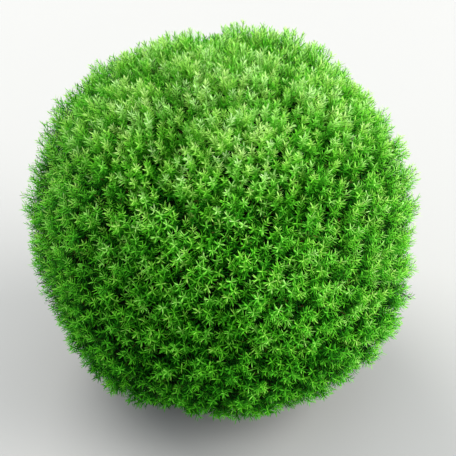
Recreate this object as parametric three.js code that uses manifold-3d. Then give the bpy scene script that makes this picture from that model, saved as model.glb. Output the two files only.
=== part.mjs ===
// Teddy eastern arborvitae: a dwarf conifer that grows unclipped as a dense globe of short, soft needles.
// A short stem stands hidden in the middle. Boughs rise from it in three rings, and each bough carries one
// mass of foliage: a dense core that twigs stand out of, every twig ending in a star of needles.
// Millimetres, +Z up. The origin is the middle of the stem's flat cut at ground level.
import * as THREE from "three";
import { mergeVertices } from "three/addons/utils/BufferGeometryUtils.js";
import Module from "manifold-3d";

// Crown
const SPREAD = 439; // mean width across the tips
const HEIGHT = 417; // mean height of the topmost tips above the ground
const GLOBE_HEIGHT = 205; // the globe's middle above the ground
const SKIRT_HEIGHT = 6; // the lowest needles end this far above the ground
const UPPER_SQUARENESS = 2.2; // exponent of the outline above the middle: 2 is an ellipse
const LOWER_SQUARENESS = 2.6; // the skirt is fuller, where the foliage leans out over the ground
const UNDERSIDE_DEPTH = 200; // from the globe's middle to where the outline would close below it
const SWELL = 0.042; // share by which the outline swells or sinks at most, as the masses have grown unevenly
const CORE_DEPTH = 21; // the dense core lies this far inside the outline
const CORE_ROUNDING = 12; // exponent that rounds the core off towards its neighbours: higher is squarer
const CORE_REACH = 44; // from a core's middle to its outer face
const FURROW_DEPTH = 8; // how far the outline sinks between two masses
const TOP_FURROW_DEPTH = 17; // the same on top, where the masses stand furthest apart
const FURROW_WIDTH = 34; // distance from the furrow at which the outline is full again

// Stem and boughs
const STEM_HEIGHT = 300;
const STEM_RADIUS = 15; // just above the root flare
const STEM_TIP_RADIUS = 4.2;
const FLARE = 9; // extra radius at the ground
const FLARE_HEIGHT = 13; // height over which the flare fades to about a third
const ROOT_RIDGES = 5;
const ROOT_RIDGE_DEPTH = 2.6;
const STEM_SWAY = 5; // the stem's gentle bends, to either side
const STEM_SIDES = 15;
const STEM_RINGS = [0, 5, 11, 19, 30, 46, 70, 100, 135, 170, 210, 255, STEM_HEIGHT];
const BOUGH_ROOT_RADIUS = 4.6;
const BOUGH_TIP_RADIUS = 2.7;
const BOUGH_SWAY = 5; // a bough's bend to one side or the other
const BOUGH_SIDES = 5;
const BOUGH_STEPS = 4;
const JOINT_GAP = 0.3; // between two pieces that meet
const STALK_LENGTH = 9; // bare length of a mass's own stalk, from its bough's tip to its core

// Sprays of needles
const SPRAY_COUNT = 280; // over the whole globe, less those that would touch the ground or leave their mass
const TWIG_RADIUS = 1.9;
const SHOOT_LENGTH = 17; // the end of a twig, where it bears needles
const NEEDLE_LEAD = 6; // the last needles reach about this far past the shoot's own tip, to the outline
const NEEDLE_LENGTH = 21;
const LOW_NEEDLE_SPREAD = 66; // degrees between the shoot and the needles round its foot
const TIP_NEEDLE_SPREAD = 34; // and those round its tip
const UPWARD_LEAN = 0.4; // how strongly a shoot turns up to the light
const SHORTEST_NEEDLE = 0.35; // a needle with less room than this share of its length is left out
const CELL_MARGIN = 0.6; // each mass stays this far inside its own share of the globe
const SHORTEST_TWIG = 4; // a twig that stands out of the core less than this is left out

// One entry for each ring of masses. Angles are in degrees: latitude is seen from the globe's middle.
const RINGS = [
  { name: "low", count: 8, latitude: -27, firstAzimuth: -90, forkHeight: 44, join: [98, 133], bend: [56, 122] },
  { name: "mid", count: 9, latitude: 15, firstAzimuth: -70, forkHeight: 84, join: [98, 229], bend: [54, 204] },
  { name: "high", count: 5, latitude: 55, firstAzimuth: -80.5, forkHeight: 138, join: [54, 284], bend: [27, 245] },
];
const FORK_STAGGER = 17; // every other bough of a ring leaves the stem this much higher
const DIRECTION_JITTER = 3.5; // degrees by which a mass strays from its even place

const GOLDEN_ANGLE = Math.PI * (3 - Math.sqrt(5));
const WELD = 1e-4; // points closer than this are one point
const UP = new THREE.Vector3(0, 0, 1);
const GLOBE_MIDDLE = new THREE.Vector3(0, 0, GLOBE_HEIGHT);

const BARK = new THREE.MeshStandardMaterial({ color: 0x6b4a33, roughness: 0.9, metalness: 0 });
const YOUNG_BARK = new THREE.MeshStandardMaterial({ color: 0x7d5636, roughness: 0.85, metalness: 0 });
const FOLIAGE = {
  low: new THREE.MeshStandardMaterial({ color: 0x2f7a1c, roughness: 0.6, metalness: 0 }),
  mid: new THREE.MeshStandardMaterial({ color: 0x3f9426, roughness: 0.6, metalness: 0 }),
  high: new THREE.MeshStandardMaterial({ color: 0x5cae38, roughness: 0.6, metalness: 0 }),
  top: new THREE.MeshStandardMaterial({ color: 0x86c75a, roughness: 0.6, metalness: 0 }),
};

const wasm = await Module();
wasm.setup();

// A number from 0 to 1 that is always the same for the same seed.
function chance(seed) {
  const wave = Math.sin(seed * 12.9898 + 4.1414) * 43758.5453;
  return wave - Math.floor(wave);
}

// The unit vector at an azimuth and a latitude in degrees.
function heading(azimuth, latitude) {
  const [a, b] = [azimuth, latitude].map(THREE.MathUtils.degToRad);
  return new THREE.Vector3(Math.cos(a) * Math.cos(b), Math.sin(a) * Math.cos(b), Math.sin(b));
}

// The uneven growth along a unit vector, from -1 to 1: broad, shallow waves that cross the globe.
function unevenness({ x, y, z }) {
  const one = Math.sin(5.8 * x - 6 * y + 2.3 * z + 1.2);
  const two = Math.sin(-4.8 * x + 1.5 * y + 3.4 * z + 1.3);
  const three = Math.sin(5.2 * x + 1.6 * y + 7.5 * z + 6.8);
  return (one + two + three) / 3;
}

// How far the crown reaches from the globe's middle along a unit vector.
function reach(toward) {
  const above = toward.z > 0;
  const power = above ? UPPER_SQUARENESS : LOWER_SQUARENESS;
  const halfHeight = above ? HEIGHT - GLOBE_HEIGHT : UNDERSIDE_DEPTH;
  const across = Math.hypot(toward.x, toward.y) / (SPREAD / 2);
  const even = (across ** power + (Math.abs(toward.z) / halfHeight) ** power) ** (-1 / power);
  return even * (1 + SWELL * unevenness(toward));
}

// How far a point lies inside the crown's outline.
function insideOutline(point) {
  const fromMiddle = point.clone().sub(GLOBE_MIDDLE);
  const distance = fromMiddle.length();
  return reach(fromMiddle.normalize()) - distance;
}

// The middle of the stem at a height.
function stemMiddle(z) {
  const along = z / STEM_HEIGHT;
  return new THREE.Vector3(
    STEM_SWAY * Math.sin(Math.PI * along) * Math.cos(2.4 * along),
    STEM_SWAY * Math.sin(2 * Math.PI * along) * 0.6,
    z,
  );
}

function stemRadius(z) {
  const tapered = THREE.MathUtils.lerp(STEM_RADIUS, STEM_TIP_RADIUS, z / STEM_HEIGHT);
  return tapered + FLARE * Math.exp(-z / FLARE_HEIGHT);
}

// A closed skin over rings of points with as many points each, with both ends capped.
function skin(rings) {
  const n = rings[0].length;
  const faces = [];
  for (let i = 1; i < n - 1; i++) faces.push([rings[0][0], rings[0][i + 1], rings[0][i]]);
  for (let r = 0; r < rings.length - 1; r++) faces.push(...band(rings[r], rings[r + 1]));
  const last = rings[rings.length - 1];
  for (let i = 1; i < n - 1; i++) faces.push([last[0], last[i], last[i + 1]]);
  return fromFaces(faces);
}

// The triangles between two rings with as many points each.
function band(from, to) {
  return from.flatMap((point, i) => {
    const next = (i + 1) % from.length;
    return [
      [point, from[next], to[i]],
      [from[next], to[next], to[i]],
    ];
  });
}

function fromFaces(faces) {
  const geometry = new THREE.BufferGeometry().setFromPoints(faces.flat());
  return mergeVertices(geometry, WELD);
}

function toSolid(geometry) {
  const bare = geometry.clone();
  bare.deleteAttribute("normal");
  bare.deleteAttribute("uv");
  const merged = mergeVertices(bare, WELD);
  return new wasm.Manifold(
    new wasm.Mesh({
      numProp: 3,
      vertProperties: merged.attributes.position.array,
      triVerts: new Uint32Array(merged.index.array),
    }),
  );
}

// The largest closed body of a solid, so that a sealed hollow is filled and a loose scrap is dropped.
function largestBody(solid) {
  return solid.decompose().reduce((best, body) => (body.volume() > best.volume() ? body : best));
}

function toGeometry(solid) {
  const mesh = solid.getMesh();
  const geometry = new THREE.BufferGeometry();
  geometry.setAttribute("position", new THREE.Float32BufferAttribute(mesh.vertProperties, 3));
  geometry.setIndex([...mesh.triVerts]);
  const flat = geometry.toNonIndexed();
  flat.computeVertexNormals();
  return flat;
}

// Two unit vectors across an axis and across each other.
function across(axis) {
  const helper = Math.abs(axis.z) < 0.999 ? UP : new THREE.Vector3(1, 0, 0);
  const side = new THREE.Vector3().crossVectors(helper, axis).normalize();
  return [side, new THREE.Vector3().crossVectors(axis, side)];
}

function ringOf(middle, axis, radii, turn = 0) {
  const [side, other] = across(axis);
  return radii.map((radius, i) => {
    const angle = turn + (2 * Math.PI * i) / radii.length;
    return middle
      .clone()
      .addScaledVector(side, radius * Math.cos(angle))
      .addScaledVector(other, radius * Math.sin(angle));
  });
}

// The stem, from its flat cut at the ground to its tip. extra thickens it, to cut its neighbours clear.
function stemGeometry(extra = 0) {
  const top = STEM_RINGS[STEM_RINGS.length - 1];
  const rings = STEM_RINGS.map((z) => {
    const radii = Array.from({ length: STEM_SIDES }, (_, i) => {
      const ridge = Math.cos((2 * Math.PI * ROOT_RIDGES * i) / STEM_SIDES);
      return stemRadius(z) + extra + ROOT_RIDGE_DEPTH * ridge * Math.exp(-z / (2 * FLARE_HEIGHT));
    });
    return ringOf(stemMiddle(z === top ? z + extra : z), UP, radii);
  });
  return skin(rings);
}

// A point at a distance from the globe's upright axis and a height, on the side that an azimuth faces.
function besideStem([distance, height], azimuth) {
  return heading(azimuth, 0).multiplyScalar(distance).setZ(height);
}

// Every mass of foliage, with the line of the bough that carries it.
function planMasses() {
  const masses = RINGS.flatMap((ring, r) =>
    Array.from({ length: ring.count }, (_, i) => {
      const seed = 100 * r + i;
      const stray = (n) => DIRECTION_JITTER * (2 * chance(seed + n) - 1);
      const azimuth = ring.firstAzimuth + (360 * i) / ring.count + stray(0.1);
      const start = stemMiddle(ring.forkHeight + (i % 2) * FORK_STAGGER);
      const bend = besideStem(ring.bend, azimuth);
      bend.addScaledVector(heading(azimuth + 90, 0), BOUGH_SWAY * (2 * chance(seed + 0.3) - 1));
      const joint = besideStem(ring.join, azimuth);
      return {
        name: `${ring.name}_${i + 1}`,
        ring: ring.name,
        toward: heading(azimuth, ring.latitude + stray(0.2)),
        bough: new THREE.QuadraticBezierCurve3(start, bend, joint),
        joint,
        entering: joint.clone().sub(bend).normalize(),
      };
    }),
  );
  const joint = stemMiddle(STEM_HEIGHT);
  masses.push({ name: "top", ring: "top", toward: UP.clone(), joint, entering: UP.clone() });
  for (const mass of masses) {
    const depth = CORE_DEPTH + CORE_REACH;
    mass.middle = GLOBE_MIDDLE.clone().addScaledVector(mass.toward, reach(mass.toward) - depth);
    mass.walls = wallsOf(mass, masses);
  }
  return masses;
}

// The planes round a mass's own share of the globe. Their distances are positive inside.
function wallsOf(mass, masses) {
  const walls = masses
    .filter((other) => other !== mass)
    .map((other) => {
      const normal = mass.toward.clone().sub(other.toward).normalize();
      const wall = new THREE.Plane().setFromNormalAndCoplanarPoint(normal, GLOBE_MIDDLE);
      wall.constant -= CELL_MARGIN;
      return wall;
    });
  const foot = mass.joint.clone().addScaledVector(mass.entering, STALK_LENGTH);
  walls.push(new THREE.Plane().setFromNormalAndCoplanarPoint(mass.entering, foot));
  walls.push(new THREE.Plane(UP.clone(), -SKIRT_HEIGHT));
  return walls;
}

function nearestWall(mass, point) {
  return Math.min(...mass.walls.map((wall) => wall.distanceToPoint(point)));
}

// How far a ray from a mass's middle runs before it is a set depth inside the crown's outline.
function runToOutline(middle, ray, depth) {
  let [near, far] = [0, SPREAD];
  for (let i = 0; i < 24; i++) {
    const half = (near + far) / 2;
    if (insideOutline(middle.clone().addScaledVector(ray, half)) > depth) near = half;
    else far = half;
  }
  return near;
}

// The dense inside of a mass: a rounded lump that fills its share of the globe.
function coreGeometry(mass) {
  const lump = new THREE.IcosahedronGeometry(1, 1);
  const position = lump.attributes.position;
  const ray = new THREE.Vector3();
  for (let i = 0; i < position.count; i++) {
    ray.fromBufferAttribute(position, i).normalize();
    const near = [1 / runToOutline(mass.middle, ray, CORE_DEPTH)];
    for (const wall of mass.walls) {
      near.push(Math.max(0, -wall.normal.dot(ray)) / wall.distanceToPoint(mass.middle));
    }
    const sum = near.reduce((total, share) => total + share ** CORE_ROUNDING, 0);
    ray.multiplyScalar(sum ** (-1 / CORE_ROUNDING)).add(mass.middle);
    position.setXYZ(i, ray.x, ray.y, ray.z);
  }
  return lump;
}

// The stalk that meets the bough's tip and runs on into the core.
function stalkGeometry(mass) {
  const start = mass.joint.clone().addScaledVector(mass.entering, JOINT_GAP);
  const radii = (radius) => Array(BOUGH_SIDES).fill(radius);
  return skin([
    ringOf(start, mass.entering, radii(BOUGH_TIP_RADIUS)),
    ringOf(mass.middle, mass.entering, radii(BOUGH_TIP_RADIUS * 0.6)),
  ]);
}

// Where the tips of the shoots lie: evenly round the globe, each a little lower beside a furrow.
function planTips(masses) {
  const tips = [];
  for (let k = 0; k < SPRAY_COUNT; k++) {
    const z = 1 - (2 * k + 1) / SPRAY_COUNT;
    const angle = GOLDEN_ANGLE * k;
    const flat = Math.sqrt(1 - z * z);
    const toward = new THREE.Vector3(flat * Math.cos(angle), flat * Math.sin(angle), z);
    const mass = masses.reduce((best, m) => (m.toward.dot(toward) > best.toward.dot(toward) ? m : best));
    const full = GLOBE_MIDDLE.clone().addScaledVector(toward, reach(toward));
    const toFurrow = Math.max(0, Math.min(1, nearestWall(mass, full) / FURROW_WIDTH));
    const furrow = THREE.MathUtils.lerp(FURROW_DEPTH, TOP_FURROW_DEPTH, Math.max(0, z) ** 2);
    const sunk = NEEDLE_LEAD + furrow * (1 - toFurrow) ** 2;
    tips.push({ mass, seed: k, place: full.addScaledVector(toward, -sunk) });
  }
  return tips;
}

// A twig from the mass's middle to a tip. Its end turns up and bears needles on every side: each face of the
// slim shoot is drawn out to a needle. It gives nothing where the twig would leave the mass's own space.
function sprayGeometry({ mass, seed, place }) {
  const outward = place.clone().sub(mass.middle).normalize();
  const axis = outward.clone().addScaledVector(UP, UPWARD_LEAN).normalize();
  const foot = place.clone().addScaledVector(axis, -SHOOT_LENGTH);
  const standsOut = place.distanceTo(mass.middle) - runToOutline(mass.middle, outward, CORE_DEPTH);
  if (nearestWall(mass, place) < 0 || nearestWall(mass, foot) < 2 * TWIG_RADIUS) return null;
  if (standsOut < SHORTEST_TWIG) return null;
  const turn = 2 * Math.PI * chance(seed);
  const ring = (middle, radius, angle) => ringOf(middle, axis, Array(3).fill(radius), angle);
  const start = ring(mass.middle, TWIG_RADIUS, turn);
  const low = ring(foot, TWIG_RADIUS, turn);
  const high = ring(foot.clone().lerp(place, 0.45), TWIG_RADIUS * 0.8, turn + Math.PI / 3);
  const faces = [[start[0], start[2], start[1]], ...band(start, low)];
  const bearing = band(low, high);
  const ending = high.map((point, i) => [point, high[(i + 1) % 3], place]);
  bearing.forEach((face, i) => {
    faces.push(...needle(mass, face, axis, LOW_NEEDLE_SPREAD, NEEDLE_LENGTH * (0.8 + 0.3 * chance(seed + i / 9))));
  });
  ending.forEach((face, i) => {
    faces.push(...needle(mass, face, axis, TIP_NEEDLE_SPREAD, NEEDLE_LENGTH * (0.6 + 0.3 * chance(seed + i / 5))));
  });
  return fromFaces(faces);
}

// One face of a shoot drawn out to a needle. Where a neighbour is near, the needle is shorter, or left out.
function needle(mass, [a, b, c], axis, spread, length) {
  const root = a.clone().add(b).add(c).divideScalar(3);
  const side = new THREE.Plane().setFromCoplanarPoints(a, b, c).normal;
  side.addScaledVector(axis, -side.dot(axis)).normalize();
  const angle = THREE.MathUtils.degToRad(spread);
  const toward = axis.clone().multiplyScalar(Math.cos(angle)).addScaledVector(side, Math.sin(angle));
  for (let share = 1; share > SHORTEST_NEEDLE; share -= 0.1) {
    const tip = root.clone().addScaledVector(toward, length * share);
    const room = Math.min(nearestWall(mass, tip), insideOutline(tip));
    if (room > 0) return [[a, b, tip], [b, c, tip], [c, a, tip]];
  }
  return [[a, b, c]];
}

function named(name, geometry, material) {
  const mesh = new THREE.Mesh(geometry, material);
  mesh.name = name;
  return mesh;
}

function makeStem() {
  return named("trunk", stemGeometry(), BARK);
}

// A bough: one tapering limb that starts clear of the stem and ends at its mass's stalk.
function makeBough(mass, clearance) {
  const points = mass.bough.getPoints(BOUGH_STEPS);
  const rings = points.map((point, i) => {
    const along = i / BOUGH_STEPS;
    const radius = THREE.MathUtils.lerp(BOUGH_ROOT_RADIUS, BOUGH_TIP_RADIUS, along);
    return ringOf(point, mass.bough.getTangent(along), Array(BOUGH_SIDES).fill(radius));
  });
  const limb = largestBody(toSolid(skin(rings)).subtract(clearance));
  return named(`bough_${mass.name}`, toGeometry(limb), YOUNG_BARK);
}

function makeFoliage(mass, tips) {
  let solid = toSolid(coreGeometry(mass)).add(toSolid(stalkGeometry(mass)));
  for (const tip of tips) {
    const spray = sprayGeometry(tip);
    if (spray) solid = solid.add(toSolid(spray));
  }
  return named(`foliage_${mass.name}`, toGeometry(largestBody(solid)), FOLIAGE[mass.ring]);
}

const plant = new THREE.Group();
const masses = planMasses();
const tips = planTips(masses);
const clearance = toSolid(stemGeometry(JOINT_GAP));
plant.add(makeStem());
for (const mass of masses) {
  if (mass.bough) plant.add(makeBough(mass, clearance));
  plant.add(makeFoliage(mass, tips.filter((tip) => tip.mass === mass)));
}

export default plant;
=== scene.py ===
# %% [markdown]
# # A teddy eastern arborvitae
#
# The real plant is a dwarf conifer that grows as a dense globe, soft as a toy bear: it never leaves its
# juvenile foliage, so every shoot is a little bottle brush of fine, soft needles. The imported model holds
# its stem, its boughs and a solid for each mass of foliage. This lesson dresses them. Each mass is taken
# apart again into tufts, branchlets, shoots and single needles, by the rule that placed it in the model.

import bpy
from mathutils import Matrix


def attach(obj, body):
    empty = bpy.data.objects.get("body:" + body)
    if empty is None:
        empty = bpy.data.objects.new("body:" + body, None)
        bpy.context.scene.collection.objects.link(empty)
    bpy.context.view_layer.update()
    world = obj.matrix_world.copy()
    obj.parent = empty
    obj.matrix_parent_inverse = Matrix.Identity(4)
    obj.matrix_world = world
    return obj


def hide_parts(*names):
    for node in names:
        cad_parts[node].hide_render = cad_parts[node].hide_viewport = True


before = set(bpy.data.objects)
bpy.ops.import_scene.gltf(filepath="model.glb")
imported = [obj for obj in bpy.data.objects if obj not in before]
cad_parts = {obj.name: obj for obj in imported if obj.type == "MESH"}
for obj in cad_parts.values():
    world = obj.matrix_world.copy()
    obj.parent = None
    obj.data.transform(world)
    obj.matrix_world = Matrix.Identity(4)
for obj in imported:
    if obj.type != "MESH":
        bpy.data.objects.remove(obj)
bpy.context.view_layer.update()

# %% [markdown]
# A plant is mostly directions and places, so the lesson starts with a few tools for arrays of vectors. Every
# random draw comes from a seeded generator, so each run grows the same plant.

# %% Directions and chance
import math

import bmesh
import bpy
import numpy as np
from mathutils import Vector

PLANT_SEED = 5
UP = np.array([0.0, 0.0, 1.0])
RIGHT = np.array([1.0, 0.0, 0.0])
NEARLY_UPRIGHT = 0.999
CHANCE_PITCH, CHANCE_START, CHANCE_SPREAD = 12.9898, 4.1414, 43758.5453
rng = np.random.default_rng(PLANT_SEED)


def unit(vectors):
    return vectors / np.linalg.norm(vectors, axis=-1, keepdims=True)


def dot(a, b):
    return np.sum(a * b, axis=-1)


def chance(seed):
    """A number from 0 to 1 that is always the same for the same seed, as in the model's own source."""
    wave = np.sin(np.asarray(seed) * CHANCE_PITCH + CHANCE_START) * CHANCE_SPREAD
    return wave - np.floor(wave)


def either_way(seed):
    """A number from -1 to 1 that is always the same for the same seed."""
    return 2 * chance(seed) - 1


def heading(azimuth, latitude):
    """The direction at an azimuth and a latitude in degrees."""
    a, b = np.radians(azimuth), np.radians(latitude)
    return np.array([np.cos(a) * np.cos(b), np.sin(a) * np.cos(b), np.sin(b)])


def sideways(axis):
    """Two unit vectors across each axis and across each other."""
    helper = np.where(np.abs(axis[..., 2:3]) < NEARLY_UPRIGHT, UP, RIGHT)
    side = unit(np.cross(helper, axis))
    return side, np.cross(axis, side)


print("a thousand chances average", round(float(chance(np.arange(1000)).mean()), 2))

# %% [markdown]
# Meshes of this size are built from arrays: a million triangles, one by one in Python, would take minutes.
# Two helpers do it for every piece of the plant. One joins batches of points and triangles, and the other
# hands them to Blender in one go and lets the new piece ride on the plant.

# %% From arrays to a mesh
def merged(batches):
    """Points and faces of several batches as one."""
    points, faces, first = [], [], 0
    for batch_points, batch_faces in batches:
        points.append(batch_points)
        faces.append(batch_faces + first)
        first += len(batch_points)
    return np.concatenate(points), np.concatenate(faces)


def new_piece(name, points, faces, materials, choice=None):
    """A mesh object that rides on the plant, from arrays of points and triangles. choice picks materials."""
    mesh = bpy.data.meshes.new(name)
    mesh.vertices.add(len(points))
    mesh.vertices.foreach_set("co", points.astype(np.float32).ravel())
    mesh.loops.add(3 * len(faces))
    mesh.loops.foreach_set("vertex_index", faces.astype(np.int32).ravel())
    mesh.polygons.add(len(faces))
    mesh.polygons.foreach_set("loop_start", (3 * np.arange(len(faces))).astype(np.int32))
    for material in materials:
        mesh.materials.append(material)
    if choice is not None:
        mesh.polygons.foreach_set("material_index", choice.astype(np.int32))
    mesh.update(calc_edges=True)
    piece = bpy.data.objects.new(name, mesh)
    bpy.context.scene.collection.objects.link(piece)
    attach(piece, "root")
    return piece


print("Blender", bpy.app.version_string, "and numpy", np.__version__)

# %% [markdown]
# The crown's outline is a slightly squared ball with broad, shallow swellings, as no two sides of a shrub
# grow alike. One function says how far it reaches along any direction. It repeats the rule of the packed
# model, so the dressed crown fills just the space that the solids fill.

# %% The crown's outline
SPREAD = 0.439
HEIGHT = 0.417
GLOBE_HEIGHT = 0.205
SKIRT_HEIGHT = 0.006
UNDERSIDE_DEPTH = 0.200
UPPER_SQUARENESS = 2.2
LOWER_SQUARENESS = 2.6
SWELL = 0.042
SWELLING_WAVES = [((5.8, -6, 2.3), 1.2), ((-4.8, 1.5, 3.4), 1.3), ((5.2, 1.6, 7.5), 6.8)]
GLOBE_MIDDLE = np.array([0.0, 0.0, GLOBE_HEIGHT])


def unevenness(toward):
    """From -1 where the crown's outline sinks in to 1 where it swells out."""
    x, y, z = np.moveaxis(toward, -1, 0)
    waves = [np.sin(a * x + b * y + c * z + start) for (a, b, c), start in SWELLING_WAVES]
    return sum(waves) / len(waves)


def reach(toward):
    """How far the crown reaches from the globe's middle along each unit vector."""
    above = toward[..., 2] > 0
    power = np.where(above, UPPER_SQUARENESS, LOWER_SQUARENESS)
    half_height = np.where(above, HEIGHT - GLOBE_HEIGHT, UNDERSIDE_DEPTH)
    across = np.hypot(toward[..., 0], toward[..., 1]) / (SPREAD / 2)
    even = (across**power + (np.abs(toward[..., 2]) / half_height) ** power) ** (-1 / power)
    return even * (1 + SWELL * unevenness(toward))


def inside_outline(points):
    """How far points lie inside the crown's outline."""
    from_middle = points - GLOBE_MIDDLE
    distance = np.linalg.norm(from_middle, axis=-1)
    return reach(from_middle / distance[..., None]) - distance


main_ways = np.array([-heading(90, 0), RIGHT, UP])
print("reach to the front, the right and the top:", reach(main_ways).round(3))

# %% [markdown]
# A stem never grows quite straight. This one sways a few millimetres one way and back, and a little less
# across that. Its line comes first, because every bough starts on it.

# %% The stem's line
STEM_HEIGHT = 0.300
STEM_SWAY = 0.005
SWAY_TURN, SIDE_SWAY_SHARE = 2.4, 0.6


def stem_middle(z):
    """The middle of the stem at each height."""
    along = np.asarray(z) / STEM_HEIGHT
    x = STEM_SWAY * np.sin(math.pi * along) * np.cos(SWAY_TURN * along)
    y = STEM_SWAY * np.sin(2 * math.pi * along) * SIDE_SWAY_SHARE
    return np.stack([x, y, np.asarray(z, float)], axis=-1)


print("the stem's middle a quarter of the way up:", stem_middle(STEM_HEIGHT / 4).round(4))

# %% [markdown]
# The boughs leave the stem in three rings. Each ring says how many boughs it has, the azimuth of the first,
# and the latitude that its masses face. A bough forks off at a height. It bends and it ends at a distance
# from the stem and a height.

# %% The rings of boughs
RINGS = [
    dict(
        name="low", count=8, latitude=-27, azimuth=-90,
        fork=0.044, bend=(0.056, 0.122), join=(0.098, 0.133),
    ),
    dict(
        name="mid", count=9, latitude=15, azimuth=-70,
        fork=0.084, bend=(0.054, 0.204), join=(0.098, 0.229),
    ),
    dict(
        name="high", count=5, latitude=55, azimuth=-80.5,
        fork=0.138, bend=(0.027, 0.245), join=(0.054, 0.284),
    ),
]
RING_NAMES = [ring["name"] for ring in RINGS] + ["top"]
print(sum(ring["count"] for ring in RINGS), "boughs in", len(RINGS), "rings")

# %% [markdown]
# Each bough carries one mass of foliage, and a last mass sits on the stem's tip. The boughs stray a few
# degrees from even, by the same seeded rule as in the model's source, so they lie where its solids do.

# %% A mass for each bough
BOUGH_SWAY = 0.005
FORK_STAGGER = 0.017
DIRECTION_JITTER = 3.5
SEEDS_OF_RING = 100
AZIMUTH_SEED, LATITUDE_SEED, SWAY_SEED = 0.1, 0.2, 0.3
CORE_DEPTH, CORE_REACH = 0.021, 0.044


def beside_stem(place, azimuth):
    """A place at a distance from the stem and a height, out along an azimuth."""
    distance, height = place
    return heading(azimuth, 0) * distance + UP * height


def plan_mass(ring, seed, i):
    """One mass of a ring: its name, the way it faces and the line of its bough."""
    azimuth = ring["azimuth"] + 360 * i / ring["count"] + DIRECTION_JITTER * either_way(seed + AZIMUTH_SEED)
    latitude = ring["latitude"] + DIRECTION_JITTER * either_way(seed + LATITUDE_SEED)
    sway = BOUGH_SWAY * either_way(seed + SWAY_SEED)
    bend = beside_stem(ring["bend"], azimuth) + heading(azimuth + 90, 0) * sway
    joint = beside_stem(ring["join"], azimuth)
    return {
        "name": f"{ring['name']}_{i + 1}",
        "ring": ring["name"],
        "toward": heading(azimuth, latitude),
        "bough": (stem_middle(ring["fork"] + (i % 2) * FORK_STAGGER), bend, joint),
        "joint": joint,
        "entering": unit(joint - bend),
    }


masses = []
for number, ring in enumerate(RINGS):
    masses += [plan_mass(ring, SEEDS_OF_RING * number + i, i) for i in range(ring["count"])]
masses.append({"name": "top", "ring": "top", "toward": UP, "joint": stem_middle(STEM_HEIGHT), "entering": UP})
mass_ring = np.array([mass["ring"] for mass in masses])
mass_toward = np.array([mass["toward"] for mass in masses])
mass_middle = GLOBE_MIDDLE + mass_toward * (reach(mass_toward) - CORE_DEPTH - CORE_REACH)[:, None]
print(len(masses), "masses:", ", ".join(mass["name"] for mass in masses))

# %% [markdown]
# A material is a recipe of nodes. Wiring them by hand hides what is going on, so a socket is wrapped in a
# small class that answers to plus, minus and times, and each sum adds its own Math node. Every other node
# comes from one method: its type, then its settings, then what goes into its sockets. Only numbers go
# through sums. A colour would turn grey in a Math node, so it comes ready from a ramp.

# %% Materials as expressions
class Wire:
    """A socket in a recipe. Sums on it add Math nodes."""

    def __init__(self, recipe, socket):
        self.recipe = recipe
        self.socket = socket

    def math(self, operation, first, second):
        return self.recipe.add("ShaderNodeMath", {"operation": operation}, {0: first, 1: second})

    def __add__(self, other):
        return self.math("ADD", self, other)

    def __radd__(self, other):
        return self.math("ADD", other, self)

    def __sub__(self, other):
        return self.math("SUBTRACT", self, other)

    def __rsub__(self, other):
        return self.math("SUBTRACT", other, self)

    def __mul__(self, other):
        return self.math("MULTIPLY", self, other)

    def __rmul__(self, other):
        return self.math("MULTIPLY", other, self)


class Recipe:
    """A material in the making, round one Principled shader."""

    def __init__(self, name, constants):
        self.material = bpy.data.materials.new(name)
        self.material.use_nodes = True
        self.tree = self.material.node_tree
        self.shader = self.tree.nodes["Principled BSDF"]
        self.feed(self.shader, constants)

    def feed(self, node, inputs):
        """Puts numbers, colours or wires into a node's sockets."""
        for key, value in inputs.items():
            if isinstance(value, Wire):
                self.tree.links.new(value.socket, node.inputs[key])
            else:
                node.inputs[key].default_value = value

    def add(self, kind, settings, inputs, output=0):
        """A new node: its type, its settings, what goes into its sockets, and which output is wanted."""
        node = self.tree.nodes.new(kind)
        for key, value in settings.items():
            if key == "stops":
                self.set_stops(node.color_ramp.elements, value)
            else:
                setattr(node, key, value)
        self.feed(node, inputs)
        return Wire(self, node.outputs[output])

    @staticmethod
    def set_stops(elements, stops):
        while len(elements) < len(stops):
            elements.new(1)
        for element, (position, colour) in zip(elements, stops):
            element.position = position
            element.color = (*colour, 1)


print("tools for materials:", Wire.__name__, "and", Recipe.__name__)

# %% [markdown]
# The bark of an arborvitae is thin and fibrous. It splits lengthwise into long, narrow strips that part and
# join again, red-brown in the furrows and weathered to grey-brown on the ridges. Its colour follows noise
# that is stretched along the limb, and the same noise lifts the finest fibres as a bump. Where the fibres
# sink lowest the colour runs down to a near-black brown, which is painted shade in the deepest cracks.

# %% Bark
FIBRES_ACROSS, FIBRES_ALONG = 420, 36
FIBRE_DETAIL, FIBRE_RAGGEDNESS = 4, 0.65
FIBRE_WEIGHT = 0.7
FIBRE_BUMP, OLD_FIBRE_LIFT, YOUNG_FIBRE_LIFT = 0.6, 0.0006, 0.0003
WEATHERING_SCALE, WEATHERING_DETAIL = 24, 3
FURROW_ROUGHNESS, RIDGE_POLISH = 1.05, 0.3
BARK_GLOSS = 0.2


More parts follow.
